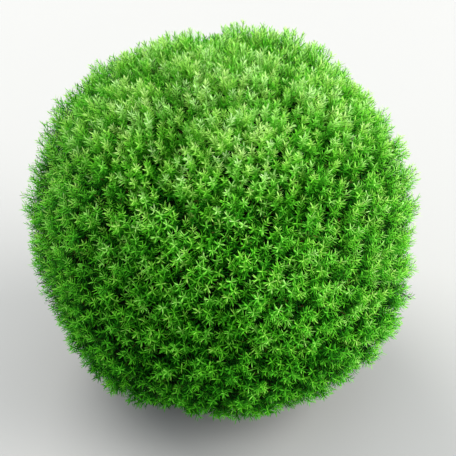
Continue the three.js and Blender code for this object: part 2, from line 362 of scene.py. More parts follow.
def bark_material(name, stops, fibre_lift):
    recipe = Recipe(name, {"Specular IOR Level": BARK_GLOSS})
    place = recipe.add("ShaderNodeTexCoord", {}, {}, "Object")
    stretch = (FIBRES_ACROSS, FIBRES_ACROSS, FIBRES_ALONG)
    stretched = recipe.add("ShaderNodeVectorMath", {"operation": "MULTIPLY"}, {0: place, 1: stretch})
    fine = {"Vector": stretched, "Scale": 1, "Detail": FIBRE_DETAIL, "Roughness": FIBRE_RAGGEDNESS}
    fibres = recipe.add("ShaderNodeTexNoise", {}, fine)
    broad = {"Vector": place, "Scale": WEATHERING_SCALE, "Detail": WEATHERING_DETAIL}
    weather = recipe.add("ShaderNodeTexNoise", {}, broad)
    tone = FIBRE_WEIGHT * fibres + (1 - FIBRE_WEIGHT) * weather
    colour = recipe.add("ShaderNodeValToRGB", {"stops": stops}, {"Fac": tone})
    bump = {"Strength": FIBRE_BUMP, "Distance": fibre_lift, "Height": fibres}
    lift = recipe.add("ShaderNodeBump", {}, bump)
    roughness = FURROW_ROUGHNESS - RIDGE_POLISH * tone
    recipe.feed(recipe.shader, {"Base Color": colour, "Roughness": roughness, "Normal": lift})
    return recipe.material


# The darkest stop is painted shade where the fibres sink; the red-brown and grey-brown are the bark's own.
SHADED_FURROW_BROWN = (0.028, 0.013, 0.008)
RED_BROWN, GREY_BROWN = (0.130, 0.056, 0.028), (0.270, 0.190, 0.135)
YOUNG_RED, YOUNG_TAN = (0.150, 0.060, 0.025), (0.240, 0.135, 0.070)
old_stops = [(0.30, SHADED_FURROW_BROWN), (0.50, RED_BROWN), (0.68, GREY_BROWN)]
young_stops = [(0.30, SHADED_FURROW_BROWN), (0.52, YOUNG_RED), (0.72, YOUNG_TAN)]
bark = bark_material("bark", old_stops, OLD_FIBRE_LIFT)
young_bark = bark_material("young_bark", young_stops, YOUNG_FIBRE_LIFT)
print("bark nodes:", len(bark.node_tree.nodes))

# %% [markdown]
# The strips themselves are real relief, for a bump alone would leave the limb's edge smooth. Noise that
# closes on itself round the limb is stretched along it, and wherever it crosses zero runs a furrow. Such
# lines wander, part and meet like the furrows of the real bark.

# %% The bark's relief
RELIEF_SEED = 11
STRIP_LAYERS = [(9, 0.034, 1.0), (19, 0.015, 0.45), (38, 0.007, 0.25)]
CELLS_ALONG = 97
relief_rng = np.random.default_rng(RELIEF_SEED)
STRIP_GRIDS = [relief_rng.uniform(-1, 1, (count, CELLS_ALONG)) for count, _, _ in STRIP_LAYERS]
FURROW_SHARPNESS = 0.16
FIBRE_SHARE = 0.3


def closed_noise(grid, round_limb, along):
    """Smooth noise from a grid of numbers. It closes on itself round the limb and repeats along it."""
    rows, columns = grid.shape
    u, v = round_limb * rows, along % columns
    i, j = np.floor(u).astype(int), np.floor(v).astype(int)
    fu, fv = [t * t * (3 - 2 * t) for t in (u - i, v - j)]
    low = grid[i % rows, j % columns] * (1 - fu) + grid[(i + 1) % rows, j % columns] * fu
    high = grid[i % rows, (j + 1) % columns] * (1 - fu) + grid[(i + 1) % rows, (j + 1) % columns] * fu
    return low * (1 - fv) + high * fv


def strips(round_limb, along):
    """From -1 in the furrows between the bark's strips to about 0 on them."""
    layers = zip(STRIP_LAYERS, STRIP_GRIDS)
    noises = [share * closed_noise(grid, round_limb, along / length) for (_, length, share), grid in layers]
    wander = noises[0] + noises[1]
    return FIBRE_SHARE * noises[2] - np.exp(-((wander / FURROW_SHARPNESS) ** 2))


print("noise cells round a limb:", ", ".join(str(count) for count, _, _ in STRIP_LAYERS))

# %% [markdown]
# Every limb is made by one function: rings of points round its line, joined to walls, with both ends closed.
# Each ring's radius comes from the limb's own taper, times the relief of the strips.

# %% A limb's skin
def limb(middles, tangents, radius_at, sides, relief, offset):
    """The points and faces of a limb. offset says where along the noise its strips start."""
    side, other = sideways(tangents)
    turn = np.arange(sides) / sides
    angle = 2 * math.pi * turn
    out = side[:, None] * np.cos(angle)[:, None] + other[:, None] * np.sin(angle)[:, None]
    steps = np.linalg.norm(np.diff(middles, axis=0), axis=1)
    along = offset + np.concatenate([[0], np.cumsum(steps)])
    radius = radius_at(along[:, None] - offset, angle[None, :])
    radius = radius * (1 + relief * strips(np.broadcast_to(turn, radius.shape), along[:, None] + 0 * radius))
    points = (middles[:, None] + out * radius[..., None]).reshape(-1, 3)
    ring = np.arange(sides)
    step = sides * np.arange(len(middles) - 1)[:, None]
    a, b = step + ring, step + (ring + 1) % sides
    lower, upper = np.stack([a, b, a + sides], -1), np.stack([b, b + sides, a + sides], -1)
    walls = np.concatenate([lower, upper]).reshape(-1, 3)
    foot, tip = len(points), len(points) + 1
    last = sides * (len(middles) - 1)
    foot_cap = np.stack([(ring + 1) % sides, ring, np.full(sides, foot)], -1)
    tip_cap = np.stack([last + ring, last + (ring + 1) % sides, np.full(sides, tip)], -1)
    return np.concatenate([points, middles[[0, -1]]]), np.concatenate([walls, foot_cap, tip_cap])


def even_radius(along, angle):
    return 1 + 0 * along * angle


trial = limb(np.array([0 * UP, UP]), np.array([UP, UP]), even_radius, sides=6, relief=0, offset=0)
print("a limb of two rings of six points has", len(trial[1]), "faces")

# %% [markdown]
# The stem is short, tapers evenly and leans a little one way and back. At the ground it flares into low
# ridges where the roots leave it, and it ends there in a flat cut. It is hidden by the foliage, but it is
# made as it grows, because the plant may be looked at from below or cut open in a scene.

# %% The stem
STEM_RADIUS, STEM_TIP_RADIUS = 0.015, 0.0042
FLARE, FLARE_HEIGHT = 0.009, 0.013
ROOT_RIDGES, ROOT_RIDGE_DEPTH = 5, 0.0026
STEM_SIDES, STEM_STEP = 112, 0.0016
STEM_RELIEF = 0.075


def stem_radius(along, angle):
    even = STEM_RADIUS + (STEM_TIP_RADIUS - STEM_RADIUS) * along / STEM_HEIGHT
    flare = FLARE * np.exp(-along / FLARE_HEIGHT)
    ridges = ROOT_RIDGE_DEPTH * np.cos(ROOT_RIDGES * angle) * np.exp(-along / (2 * FLARE_HEIGHT))
    return even + flare + ridges


heights = np.linspace(0, STEM_HEIGHT, round(STEM_HEIGHT / STEM_STEP))
upright = np.broadcast_to(UP, (len(heights), 3))
stem_skin = limb(stem_middle(heights), upright, stem_radius, STEM_SIDES, STEM_RELIEF, 0)
stem = new_piece("stem", *stem_skin, [bark])
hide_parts("trunk")
print("stem:", len(stem.data.polygons), "faces,", round(2000 * STEM_RADIUS), "mm thick above its flare")

# %% [markdown]
# Each bough is one tapering limb on a single bend. It springs from inside the stem with a small collar,
# where wood has grown over the fork, and ends as thick as the stalk of the mass that it carries.

# %% The boughs
BOUGH_ROOT_RADIUS, BOUGH_TIP_RADIUS = 0.0046, 0.0027
COLLAR, COLLAR_LENGTH = 0.0022, 0.008
BOUGH_SIDES, BOUGH_RINGS = 22, 44
BOUGH_RELIEF = 0.09


def bough_skin(mass, number):
    start, bend, joint = mass["bough"]
    t = np.linspace(0, 1, BOUGH_RINGS)[:, None]
    line = (1 - t) ** 2 * start + 2 * t * (1 - t) * bend + t**2 * joint
    tangents = unit((1 - t) * (bend - start) + t * (joint - bend))
    length = np.linalg.norm(np.diff(line, axis=0), axis=1).sum()

    def radius(along, angle):
        even = BOUGH_ROOT_RADIUS + (BOUGH_TIP_RADIUS - BOUGH_ROOT_RADIUS) * along / length
        return even + COLLAR * np.exp(-(((along - STEM_RADIUS) / COLLAR_LENGTH) ** 2)) + 0 * angle

    return limb(line, tangents, radius, BOUGH_SIDES, BOUGH_RELIEF, number)


for ring in RINGS:
    own = [mass for mass in masses if mass["ring"] == ring["name"]]
    skins = [bough_skin(mass, number) for number, mass in enumerate(own)]
    boughs = new_piece(f"boughs_{ring['name']}", *merged(skins), [young_bark])
    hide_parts(*[f"bough_{mass['name']}" for mass in own])
    print(boughs.name, len(boughs.data.polygons), "faces")

# %% [markdown]
# A real shrub branches and branches again, because every twig forks where it finds light, and so its parts
# share the surface out between them. Here each level of that branching is laid evenly round the globe, one
# point a golden angle on from the last, and all but the tufts stray a little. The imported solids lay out
# their few coarse sprays by this rule. Here it goes on to more and finer ones.

# %% Sharing the surface out
TUFTS = 520
BRANCHLETS = 2000
SHOOTS = 5900
INNER_SHOOTS = 3900
BRANCHLET_JITTER, SHOOT_JITTER, INNER_JITTER = 0.25, 0.2, 0.3
GOLDEN_ANGLE = math.pi * (3 - math.sqrt(5))


def even_directions(count, jitter):
    """Unit vectors laid evenly round the globe, each strayed by up to about jitter times their spacing."""
    k = np.arange(count)
    z = 1 - (2 * k + 1) / count
    flat = np.sqrt(1 - z * z)
    even = np.stack([flat * np.cos(GOLDEN_ANGLE * k), flat * np.sin(GOLDEN_ANGLE * k), z], axis=1)
    spacing = math.sqrt(4 * math.pi / count)
    return unit(even + jitter * spacing * rng.uniform(-1, 1, (count, 3)))


tuft_way = even_directions(TUFTS, 0)
branchlet_way = even_directions(BRANCHLETS, BRANCHLET_JITTER)
shoot_way = even_directions(SHOOTS, SHOOT_JITTER)
inner_way = even_directions(INNER_SHOOTS, INNER_JITTER)
print("planned:", TUFTS, "tufts,", BRANCHLETS, "branchlets and", SHOOTS + INNER_SHOOTS, "shoots")

# %% [markdown]
# A shoot belongs to a branchlet, a branchlet to a tuft, a tuft to a mass. Each point joins the nearest one
# of the level above, but never across the border of its mass or its tuft. How far off those borders are
# is kept as well, because the furrows will run along them.

# %% What grows on what
def nearest(directions, groups, parents, parents_groups):
    """For each direction the nearest parent of its own group, and the angle to the border with the next."""
    cosine = directions @ parents.T
    cosine[groups[:, None] != parents_groups[None, :]] = -1
    order = np.argsort(-cosine, axis=1)[:, :2]
    best, second = np.take_along_axis(cosine, order, axis=1).T
    border = (np.arccos(np.clip(second, -1, 1)) - np.arccos(np.clip(best, -1, 1))) / 2
    return order[:, 0], border


def mass_of(directions):
    """The mass that each direction falls in, and how far from the next one its place on the outline lies."""
    order = np.argsort(-(directions @ mass_toward.T), axis=1)[:, :2]
    own, next_one = mass_toward[order[:, 0]], mass_toward[order[:, 1]]
    places = directions * reach(directions)[:, None]
    return order[:, 0], dot(places, unit(own - next_one))


tuft_mass, _ = mass_of(tuft_way)
branchlet_mass, _ = mass_of(branchlet_way)
shoot_mass, mass_border = mass_of(shoot_way)
inner_mass, inner_border = mass_of(inner_way)
branchlet_tuft, _ = nearest(branchlet_way, branchlet_mass, tuft_way, tuft_mass)
shoot_tuft, tuft_border = nearest(shoot_way, shoot_mass, tuft_way, tuft_mass)
shoot_branchlet, _ = nearest(shoot_way, shoot_tuft, branchlet_way, branchlet_tuft)
print("shoots in a mass:", np.bincount(shoot_mass).min(), "to", np.bincount(shoot_mass).max())

# %% [markdown]
# Between two masses the surface sinks into a dark furrow, and between two tufts into a narrower one.
# That is what makes the globe look like a heap of soft cushions and not like a clipped ball. A tip's
# depth is the sum of both, with a little chance. On the sides the needles stand out past the tips, so
# those tips start a little deeper.

# %% How deep each tip lies
NEEDLE_LEAD = 0.0035
FURROW_DEPTH, TOP_FURROW_DEPTH, FURROW_WIDTH = 0.009, 0.020, 0.032
TUFT_FURROW_DEPTH, TUFT_FURROW_WIDTH = 0.014, 0.011
TIP_CHANCE = 0.0028
TIP_OUTMOST, TIP_INMOST = -1.0, 2.5


def furrow(distance, depth, width):
    return depth * (1 - np.clip(distance / width, 0, 1)) ** 2


def under_outline(toward, depth):
    """Places a set depth under the outline."""
    return GLOBE_MIDDLE + toward * (reach(toward) - depth)[:, None]


facing_up = shoot_way[:, 2].clip(0)
mass_furrow_depth = FURROW_DEPTH + (TOP_FURROW_DEPTH - FURROW_DEPTH) * facing_up**2
tip_chance = TIP_CHANCE * rng.normal(size=SHOOTS).clip(TIP_OUTMOST, TIP_INMOST)
sink = NEEDLE_LEAD * (1 - facing_up) + tip_chance + furrow(mass_border, mass_furrow_depth, FURROW_WIDTH)
sink += furrow(tuft_border * reach(shoot_way), TUFT_FURROW_DEPTH, TUFT_FURROW_WIDTH)
tips = under_outline(shoot_way, sink)
print("the median tip lies", round(1000 * float(np.median(sink)), 1), "mm under the outline")

# %% [markdown]
# The forks lie deeper, the tufts' more so, and each branchlet's is pulled towards that of its tuft. A shoot
# points away from its tuft's fork, leans up to the light and strays a little. Its foot follows from its
# tip, its curve and its length. A shoot isn't grown if its foot would show or if it would reach the ground.

# %% Forks and feet
TUFT_FORK_DEPTH = 0.050
BRANCHLET_FORK_DEPTH = 0.038
FORK_PULL = 0.3
SHOOT_LENGTH = 0.023
LENGTH_RANGE = (0.85, 1.15)
SHOOT_CURVE = 0.14
UPWARD_LEAN = 0.40
STRAY = 0.20
TIP_CLEARANCE = 0.004
FOOT_COVER = 0.002

tuft_forks = under_outline(tuft_way, TUFT_FORK_DEPTH)
branchlet_forks = under_outline(branchlet_way, BRANCHLET_FORK_DEPTH)
branchlet_forks += FORK_PULL * (tuft_forks[branchlet_tuft] - branchlet_forks)
outward = unit(tips - tuft_forks[shoot_tuft])
shoot_axis = unit(outward + UPWARD_LEAN * UP + STRAY * rng.normal(size=(SHOOTS, 3)))
shoot_length = SHOOT_LENGTH * rng.uniform(*LENGTH_RANGE, SHOOTS)
feet = tips - (shoot_axis + SHOOT_CURVE * UP) * shoot_length[:, None]
grows = (tips[:, 2] > SKIRT_HEIGHT + TIP_CLEARANCE) & (feet[:, 2] > SKIRT_HEIGHT)
grows &= inside_outline(feet) > FOOT_COVER
print(int(grows.sum()), "shoots grow,", int((~grows).sum()), "would hang out or touch the ground")

# %% [markdown]
# The twigs are what the needles stand on: from a mass's middle to its tufts, on to the branchlets, and up
# through each shoot. They are three-sided rods, tapered, and thinner at each fork. The older ones are
# brown. The last ones and the shoots' own stems are still green, so the two kinds are kept apart.

# %% Twigs
JOINT_GAP = 0.0003
STALK_RADIUS, TUFT_RADIUS, BRANCHLET_RADIUS, SHOOT_RADIUS = 0.0026, 0.0013, 0.0008, 0.00045
ROD_SIDES = 3
ROD_FACES = np.array([[0, 1, 3], [1, 4, 3], [1, 2, 4], [2, 5, 4], [2, 0, 5], [0, 3, 5]])


def rods(starts, ends, start_radius, end_radius):
    """Points and faces of three-sided rods."""
    side, other = sideways(unit(ends - starts))
    angle = 2 * math.pi * np.arange(ROD_SIDES) / ROD_SIDES
    ring = side[:, None] * np.cos(angle)[:, None] + other[:, None] * np.sin(angle)[:, None]
    start_ring = starts[:, None] + ring * start_radius
    end_ring = ends[:, None] + ring * end_radius
    points = np.concatenate([start_ring, end_ring], axis=1)
    faces = 2 * ROD_SIDES * np.arange(len(starts))[:, None, None] + ROD_FACES
    return points.reshape(-1, 3), faces.reshape(-1, 3)


def twigs_of(chosen):
    """The brown twigs of some masses, and the green ones that bear and run through their shoots."""
    tufts = np.flatnonzero(np.isin(tuft_mass, chosen) & (tuft_forks[:, 2] > SKIRT_HEIGHT))
    branchlets = np.flatnonzero(np.isin(branchlet_tuft, tufts) & (branchlet_forks[:, 2] > SKIRT_HEIGHT))
    shoots = np.flatnonzero(grows & np.isin(shoot_mass, chosen))
    joints = np.array([masses[m]["joint"] + masses[m]["entering"] * JOINT_GAP for m in chosen])
    parents = tuft_forks[branchlet_tuft[branchlets]]
    brown = [
        rods(joints, mass_middle[chosen], STALK_RADIUS, TUFT_RADIUS),
        rods(mass_middle[tuft_mass[tufts]], tuft_forks[tufts], TUFT_RADIUS, BRANCHLET_RADIUS),
        rods(parents, branchlet_forks[branchlets], BRANCHLET_RADIUS, SHOOT_RADIUS),
    ]
    green = [
        rods(branchlet_forks[shoot_branchlet[shoots]], feet[shoots], SHOOT_RADIUS, SHOOT_RADIUS),
        rods(feet[shoots], tips[shoots], SHOOT_RADIUS, SHOOT_RADIUS / 2),
    ]
    return merged(brown), merged(green)


print("a rod has", len(ROD_FACES), "faces")

# %% [markdown]
# Thin things of one colour need no pattern: a plain, nearly matt finish does for twigs, old needles and
# fresh ones alike. Two browns are dealt out among the older twigs by chance, and the young ones are green.

# %% Colours for the twigs
PLAIN_ROUGHNESS, PLAIN_GLOSS = 0.6, 0.03


def plain_material(name, colour):
    finish = {"Base Color": (*colour, 1), "Roughness": PLAIN_ROUGHNESS, "Specular IOR Level": PLAIN_GLOSS}
    return Recipe(name, finish).material


twig_materials = [
    plain_material("red_brown_twigs", (0.034, 0.018, 0.007)),
    plain_material("grey_brown_twigs", (0.040, 0.034, 0.014)),
    plain_material("green_stems", (0.060, 0.130, 0.012)),
]
GREEN_STEMS = len(twig_materials) - 1
for ring in RING_NAMES:
    brown, green = twigs_of(np.flatnonzero(mass_ring == ring))
    browns = rng.integers(0, GREEN_STEMS, len(brown[1]) // len(ROD_FACES))
    kinds = np.concatenate([np.repeat(browns, len(ROD_FACES)), np.full(len(green[1]), GREEN_STEMS)])
    twigs = new_piece(f"twigs_{ring}", *merged([brown, green]), twig_materials, kinds)
    print(twigs.name, len(twigs.data.polygons), "faces")

# %% [markdown]
# A teddy arborvitae is so dense that nothing can be seen through it: behind the green there are old brown
# needles and fine dead twigs in deep shade. A lump of litter in each mass stands for them and for their
# shade. It fills the mass's share of the globe from a good way under the tips, and its surface is crumpled.
# Its colours are painted shade: most faces are a near-black green and only some a near-black brown.

# %% The litter inside
STALK_LENGTH = 0.009
LITTER_DEPTH = 0.032
LITTER_CRUMPLE = 0.0025
LITTER_OVERLAP = 0.001
LITTER_FINENESS = 4
HALVINGS = 20
NEARLY_NOTHING = 1e-6


def ball_of_rays():
    """The points and faces of a ball made of even triangles."""
    ball = bmesh.new()
    bmesh.ops.create_icosphere(ball, subdivisions=LITTER_FINENESS, radius=1)
    rays = unit(np.array([v.co for v in ball.verts]))
    faces = np.array([[v.index for v in f.verts] for f in ball.faces])
    ball.free()
    return rays, faces


def run_to_outline(middle, rays, depth):
    """How far rays run from a mass's middle before they are a set depth inside the outline."""
    near, far = np.zeros(len(rays)), np.full(len(rays), SPREAD)
    for _ in range(HALVINGS):
        half = (near + far) / 2
        inside = inside_outline(middle + rays * half[:, None]) > depth
        near, far = np.where(inside, half, near), np.where(inside, far, half)
    return near


def litter_of(m, rays):
    """The points of one mass's litter: along each ray to the outline or the wall of the mass's share."""
    mass, middle = masses[m], mass_middle[m]
    run = run_to_outline(middle, rays, LITTER_DEPTH)
    foot = mass["joint"] + mass["entering"] * STALK_LENGTH
    walls = [(unit(mass["toward"] - other["toward"]), GLOBE_MIDDLE) for other in masses if other is not mass]
    walls += [(mass["entering"], foot), (UP, UP * SKIRT_HEIGHT)]
    for normal, place in walls:
        away = np.maximum(-(rays @ normal), NEARLY_NOTHING)
        run = np.minimum(run, (dot(middle - place, normal) + LITTER_OVERLAP) / away)
    return middle + rays * (run - LITTER_CRUMPLE * rng.random(len(rays)))[:, None]


BROWN_LITTER_SHARE = 0.15
# Both litter colours are painted shade: a near-black green, and the brown of dead needles darkened to near
# black.
litter_materials = [
    plain_material("painted_shade_green_litter", (0.0006, 0.0070, 0.0002)),
    plain_material("brown_litter_in_painted_shade", (0.0040, 0.0034, 0.0010)),
]
rays, ray_faces = ball_of_rays()
for ring in RING_NAMES:
    points, faces = merged([(litter_of(m, rays), ray_faces) for m in np.flatnonzero(mass_ring == ring)])
    brown = rng.random(len(faces)) < BROWN_LITTER_SHARE
    litter = new_piece(f"litter_{ring}", points, faces, litter_materials, brown)
    print(litter.name, len(faces), "faces")

# %% [markdown]
# Arborvitae foliage runs from pale yellow-green young tips through fresh and full green to the duller green
# of older needles, and a few dead ones are brown. The palette also holds painted light and shade: its
# palest tones stand for needles in full light and its deepest, near-black ones for needles in shade. A
# pattern on a piece made of a hundred thousand needles would be lost when the model is exported, so the
# palette is plain colours, dealt out along each spray: paler for its tip and for the upper side, which is
# painted light, and deeper for its foot and the shade, which is painted shade.
# A half step between each two tones keeps a spray from banding. Each comes once a little yellower and
# once a little bluer, because no two shoots are of quite the same green.

# %% The palette
# The deepest tones are painted shade and the palest are painted light, beside the needles' own greens.
TONES = {
    "shaded_needles": (0.0002, 0.010, 0.0001),
    "deep_shade_green": (0.0018, 0.045, 0.0004),
    "full_green": (0.008, 0.110, 0.0015),
    "fresh_green": (0.030, 0.220, 0.005),
    "young_green": (0.082, 0.380, 0.013),
    "pale_green": (0.220, 0.500, 0.062),
    "sunlit_pale_tips": (0.395, 0.600, 0.190),
}
HUES = {"yellowish": (0.98, 1.0, 0.86), "bluish": (0.94, 1.0, 1.08)}
DEAD_BROWN = (0.040, 0.026, 0.006)
PALEST = len(TONES) - 1
STEPS_OF_TONE = 2
all_tones = dict(TONES)
for lower, upper in zip(list(TONES)[:-1], list(TONES)[1:]):
    all_tones[f"{lower}_to_{upper}"] = tuple(np.sqrt(np.multiply(TONES[lower], TONES[upper])))
from_dark_to_pale = sorted(all_tones.items(), key=lambda pair: pair[1][1])
needle_materials = []
for tone_name, colour in from_dark_to_pale:
    for hue_name, shift in HUES.items():
        shifted = [float(part * share) for part, share in zip(colour, shift)]
        needle_materials.append(plain_material(f"{tone_name}_{hue_name}", shifted))
needle_materials.append(plain_material("dead_needles", DEAD_BROWN))
DEAD = len(needle_materials) - 1
print(len(needle_materials), "plain needle materials")

# %% [markdown]
# A needle is a slim, flat blade that keeps its width for most of its length and then runs to a point: five
# corners and three faces. Its shoulder sits a little towards the shoot's foot, so the blade curves forward.

# %% One needle
NEEDLE_LENGTH = 0.0098
NEEDLE_WIDTH = 0.00095
NEEDLE_CORNERS = 5
NEEDLE_FACES = np.array([[0, 1, 2], [0, 2, 3], [3, 2, 4]])
FOOT_WIDTH = 0.55
SHOULDER = 0.62
NEEDLE_BEND = 0.05


def blades(place, way, toward, across, full, width):
    """The corners of needles: two at the foot, two at the shoulder and one at the tip."""
    half = across * (width / 2)[..., None]
    shoulder = place + (toward * SHOULDER - way * NEEDLE_BEND) * full[..., None]
    tip = place + toward * full[..., None]
    corners = [place - FOOT_WIDTH * half, place + FOOT_WIDTH * half, shoulder + half, shoulder - half, tip]
    return np.stack(corners, axis=2).reshape(-1, NEEDLE_CORNERS, 3)


print("needles", round(1000 * NEEDLE_LENGTH, 1), "mm long and", round(1000 * NEEDLE_WIDTH, 2), "mm wide")

# %% [markdown]
# Needles stand in pairs, each pair turned a quarter and a little more from the last, wide open at a shoot's
# foot and closing towards its tip. Seen from its end such a shoot is an open star. In full light, at the
# top, a shoot grows as a denser plume, and there the needles lie closer to its stem.

# %% How the needles stand
PAIR_TURN = math.radians(98)
FOOT_SPREAD, TIP_SPREAD = math.radians(72), math.radians(50)
TIP_EASING = 3
PLUME_CLOSING = math.radians(12)
TURN_STRAY, SPREAD_STRAY = 0.2, 0.12


def along_shoot(foot, axis, length, share):
    """Places and directions at shares of a shoot's length. It curves up a little."""
    rise = SHOOT_CURVE * length[:, None, None] * share[None, :, None] ** 2 * UP
    place = foot[:, None] + axis[:, None] * (length[:, None] * share)[..., None] + rise
    way = unit(axis[:, None] + 2 * SHOOT_CURVE * share[None, :, None] * UP)
    return place, way


def needle_ways(way, share, plume):
    """Where needles point and which way lies across their blades, from the ways of their shoots."""
    number = np.arange(len(share))
    turn = number // 2 * PAIR_TURN + number % 2 * math.pi + rng.uniform(0, 2 * math.pi, (len(way), 1))
    turn = turn + rng.normal(0, TURN_STRAY, turn.shape)
    spread = FOOT_SPREAD + (TIP_SPREAD - FOOT_SPREAD) * share**TIP_EASING - PLUME_CLOSING * plume
    spread = spread + rng.normal(0, SPREAD_STRAY, turn.shape)
    side, other = sideways(way)
    out = side * np.cos(turn)[..., None] + other * np.sin(turn)[..., None]
    toward = way * np.cos(spread)[..., None] + out * np.sin(spread)[..., None]
    return toward, unit(np.cross(way, out))


print("each pair is turned", round(math.degrees(PAIR_TURN)), "degrees from the last")

# %% [markdown]
# The needles get shorter towards a shoot's tip, where they are youngest. Those of a plume are shorter and
# broader all along, but they keep more of their length at its tip.

# %% How long and broad the needles are
TIP_SHORTENING = 0.35
PLUME_SHORTENING = 0.2
PLUME_TIP_FULLNESS = 0.5
PLUME_WIDENING = 0.3
FULL_RANGE, WIDTH_RANGE = (0.8, 1.15), (0.85, 1.15)


def needle_sizes(share, plume):
    """Lengths and widths of the needles along many shoots."""
    full = NEEDLE_LENGTH * (1 - TIP_SHORTENING * share**TIP_EASING * (1 - PLUME_TIP_FULLNESS * plume))
    full = full * (1 - PLUME_SHORTENING * plume) * rng.uniform(*FULL_RANGE, full.shape)
    width = NEEDLE_WIDTH * (1 + PLUME_WIDENING * plume) * rng.uniform(*WIDTH_RANGE, full.shape)
    return full, width


print("the longest needles can measure", round(1000 * NEEDLE_LENGTH * FULL_RANGE[1], 1), "mm")

# %% [markdown]
# A shoot's tone is that of its youngest needles. It fades towards the foot, where the needles are older and
# where painted shade deepens it. Each needle strays from it a little, and is a touch deeper at its foot and
# paler at its point. Whether the hue is the yellower or the bluer one is drawn once for a whole shoot.

# %% The needles' colours
FADING_BEND = 1.5
NEEDLE_TONE_STRAY = 0.15
FOOT_TONE, POINT_TONE = -0.25, 0.25
YELLOWISH_SHARE = 0.5


def needle_colours(tone, fading, share):
    """A material's number for each face of the needles along many shoots."""
    # Painted shade, with the older needles' duller green: the tone sinks towards each shoot's foot.
    young = tone[:, None] + fading[:, None] * (share**FADING_BEND - 1)
    young = young + rng.normal(0, NEEDLE_TONE_STRAY, young.shape)
    tones = np.stack([young + FOOT_TONE, young, young + POINT_TONE], axis=2)
    hue = rng.random((len(tone), 1, 1)) > YELLOWISH_SHARE
    colours = len(HUES) * np.rint(STEPS_OF_TONE * np.clip(tones, 0, PALEST)) + hue
    return colours.reshape(-1, len(NEEDLE_FACES))


print("tones run from 0, the deepest, to", PALEST)

# %% [markdown]
# One function puts these together. It clothes any number of shoots at once, each as far a plume as it
# should be, and leaves a short bare stretch at their feet.

# %% Clothing shoots
BARE_SHARE = 0.12


def clothe(foot, axis, length, pairs, tone, fading, plume):
    """Pairs of needles along shoots. Gives their corner points, and a material's number for each face.

    plume says how far each shoot is a slim plume and not an open star, from 0 to 1.
    """
    share = np.linspace(BARE_SHARE, 1, pairs)
    place, way = along_shoot(foot, axis, length, share)
    place, way = np.repeat(place, 2, axis=1), np.repeat(way, 2, axis=1)
    share = np.repeat(share, 2)
    plume = plume[:, None]
    toward, across = needle_ways(way, share, plume)
    full, width = needle_sizes(share, plume)
    return blades(place, way, toward, across, full, width), needle_colours(tone, fading, share)


print("the first needles stand", round(100 * BARE_SHARE), "percent up a shoot")

# %% [markdown]
# A shoot's tone carries painted light and shade: it is palest on the crown and on its sunny side to the
# right, and deeper towards the ground, in the furrows of the crown and where its tip stays behind its
# neighbours. Along it the tone fades to the foot, least on the crown. How far a shoot is a plume depends on
# how far up it faces, with a little chance.

# %% Light on the shoots
FACING_UP = [-1, -0.45, 0, 0.6, 0.88, 1]
TONE_FACING_UP = [3.6, 3.9, 4.4, 5.05, 5.6, 5.6]
FADING_FACING_UP = [4.6, 4.3, 3.6, 3.1, 1.9, 1.5]
SUNNY_SIDE = 0.65
FURROW_SHADE = 1.0
TUFT_TONE_STRAY, SHOOT_TONE_STRAY = 0.12, 0.15
SHADE_DEPTH = 0.006
PLUME_FROM, PLUME_FULL, PLUME_STRAY = 0.35, 0.9, 0.05

tuft_tone = rng.normal(0, TUFT_TONE_STRAY, TUFTS)
# Painted light raises the tone on upward faces and towards the lamp on the right; painted shade lowers it in
# furrows and deep tips.
tone = np.interp(shoot_way[:, 2], FACING_UP, TONE_FACING_UP)
tone += SUNNY_SIDE * shoot_way[:, 0].clip(0) * (1 - facing_up)
tone -= FURROW_SHADE * facing_up**2 * furrow(mass_border, 1, FURROW_WIDTH)
tone += tuft_tone[shoot_tuft] + rng.normal(0, SHOOT_TONE_STRAY, SHOOTS) - tip_chance / SHADE_DEPTH
fading = np.interp(shoot_way[:, 2], FACING_UP, FADING_FACING_UP)
plume = shoot_way[:, 2] + rng.normal(0, PLUME_STRAY, SHOOTS)
plume = np.interp(plume, [PLUME_FROM, PLUME_FULL], [0, 1])
print("the shoots' tones run from", round(float(tone.min()), 1), "to", round(float(tone.max()), 1))

# %% [markdown]
# Behind the shoots grow shorter ones that never reached the light. They close the view into the crown, as
# on the real one. They are dark on the sides and paler on the crown, where light falls in from above. None
# may reach up among the outer tips or down to the ground.

# %% The inner shoots
INNER_DEPTH, TOP_INNER_DEPTH, INNER_FURROW_DEPTH = 0.034, 0.030, 0.012
INNER_LENGTH = 0.020
INNER_STRAY = 0.3
INNER_COVER, INNER_CLEARANCE = 0.009, 0.010
INNER_TONE, TOP_INNER_TONE = 0.9, 4.7
INNER_TONE_STRAY = 0.4
INNER_FURROW_SHADE = 1.5

inner_up = inner_way[:, 2].clip(0) ** 2
inner_furrow = inner_up * furrow(inner_border, 1, FURROW_WIDTH)
inner_tone = INNER_TONE + (TOP_INNER_TONE - INNER_TONE) * inner_up - INNER_FURROW_SHADE * inner_furrow
inner_tone += rng.normal(0, INNER_TONE_STRAY, INNER_SHOOTS)
inner_depth = INNER_DEPTH + (TOP_INNER_DEPTH - INNER_DEPTH) * inner_up + INNER_FURROW_DEPTH * inner_furrow
inner_feet = under_outline(inner_way, inner_depth)
inner_axis = unit(inner_way + INNER_STRAY * rng.normal(size=(INNER_SHOOTS, 3)))
inner_tips = inner_feet + inner_axis * INNER_LENGTH
hidden = (inside_outline(inner_tips) > INNER_COVER) & (inner_feet[:, 2] > SKIRT_HEIGHT)
hidden &= inner_tips[:, 2] > SKIRT_HEIGHT + INNER_CLEARANCE
print(int(hidden.sum()), "inner shoots grow,", int((~hidden).sum()), "would show or touch the ground")

# %% [markdown]
# Now all shoots are clothed: the open stars with fewer pairs of needles, the plumes with more, and the inner
# ones with the fewest, where a few needles are dead. All needles are too much for one mesh, so each ring of
# masses is joined into a few pieces, and each piece takes the place of the solids of its own masses.

